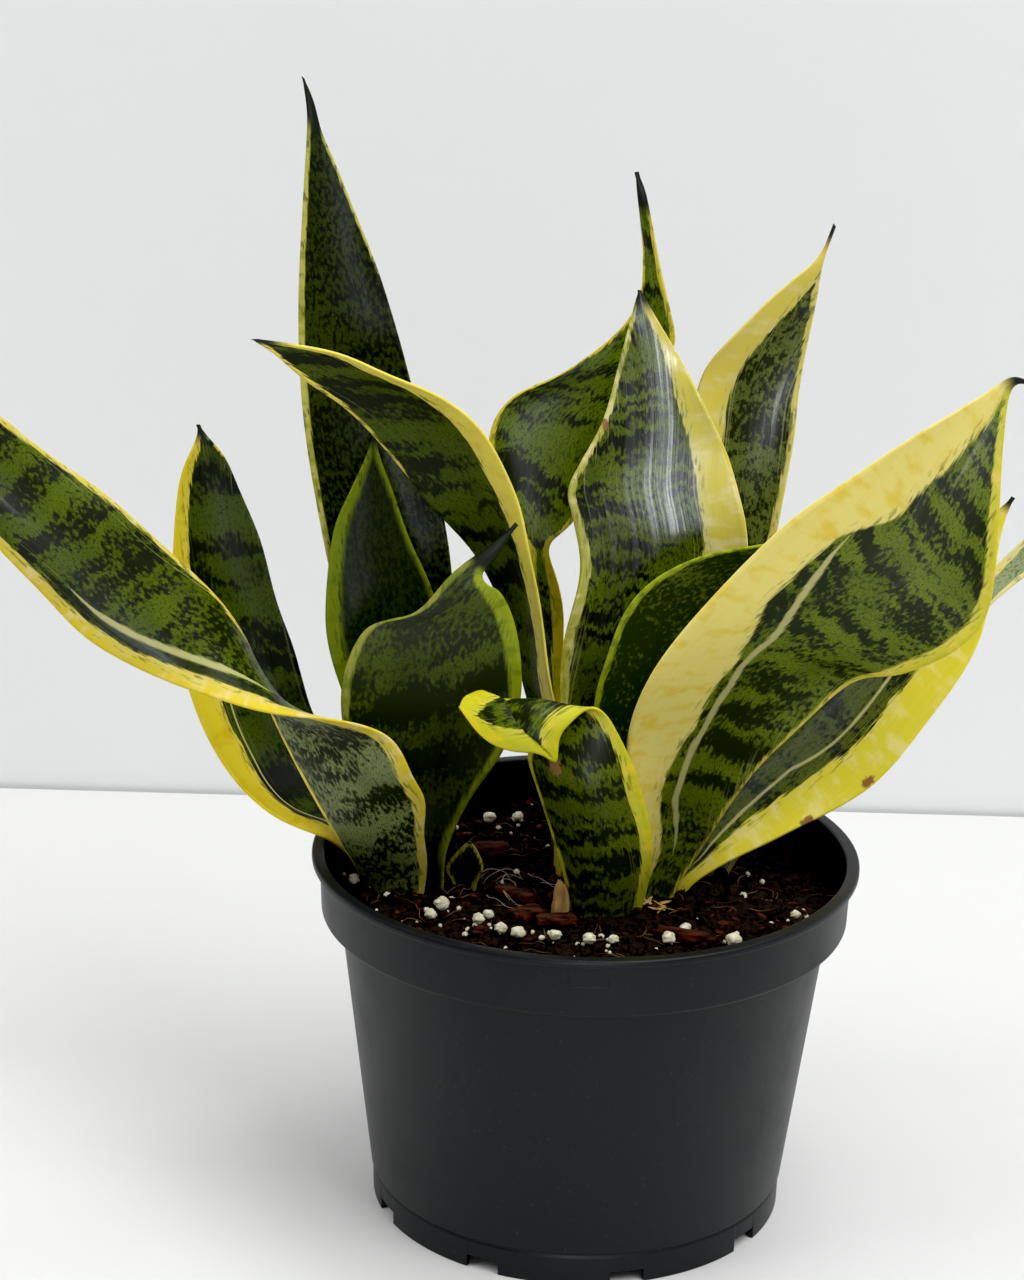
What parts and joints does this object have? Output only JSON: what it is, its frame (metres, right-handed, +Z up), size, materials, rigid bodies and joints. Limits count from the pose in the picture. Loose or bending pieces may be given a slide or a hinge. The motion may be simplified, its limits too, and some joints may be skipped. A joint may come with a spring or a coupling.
{
  "type": "potted snake plant",
  "caption": "Young variegated snake plant with sword-shaped, twisted leaves, standing in a round black nursery pot of potting mix.",
  "frame": {"origin": "middle of the pot's underside, on the surface that the pot stands on", "axes": "+Z up along the pot's axis; the front of the plant faces -Y, and +X is to the right seen from the front"},
  "size_m": [0.3871, 0.165, 0.3372],
  "materials": {
    "pot_plastic": "matte moulded charcoal-black plastic, slightly dusty",
    "potting_mix": null,
    "rhizome_skin": "dull ringed skin",
    "leaf_green": null,
    "dry_sheath": "dry, papery tan",
    "perlite": "chalky off-white grains",
    "bark": "rough red-brown bark"
  },
  "bodies": {
    "root": {"bark_back": "bark", "bark_front": "bark", "bark_left": "bark", "bark_long": "bark", "bark_middle": "bark", "bark_right": "bark", "dry_sheath": "dry_sheath", "leaf_arched_over": "leaf_green", "leaf_centre_glossy": "leaf_green", "leaf_centre_low": "leaf_green", "leaf_centre_twisted": "leaf_green", "leaf_front_curled": "leaf_green", "leaf_left_arching": "leaf_green", "leaf_left_back": "leaf_green", "leaf_left_broad": "leaf_green", "leaf_left_short": "leaf_green", "leaf_left_tall": "leaf_green", "leaf_right_back": "leaf_green", "leaf_right_broad": "leaf_green", "leaf_right_far": "leaf_green", "leaf_right_under": "leaf_green", "perlite_01": "perlite", "perlite_02": "perlite", "perlite_03": "perlite", "perlite_04": "perlite", "perlite_05": "perlite", "perlite_06": "perlite", "perlite_07": "perlite", "perlite_08": "perlite", "perlite_09": "perlite", "perlite_10": "perlite", "perlite_11": "perlite", "perlite_12": "perlite", "perlite_13": "perlite", "perlite_14": "perlite", "perlite_15": "perlite", "perlite_16": "perlite", "pot": "pot_plastic", "rhizome_back": "rhizome_skin", "rhizome_left": "rhizome_skin", "rhizome_middle": "rhizome_skin", "rhizome_right": "rhizome_skin", "soil": "potting_mix", "young_leaf": "leaf_green"}
  },
  "joints": []
}
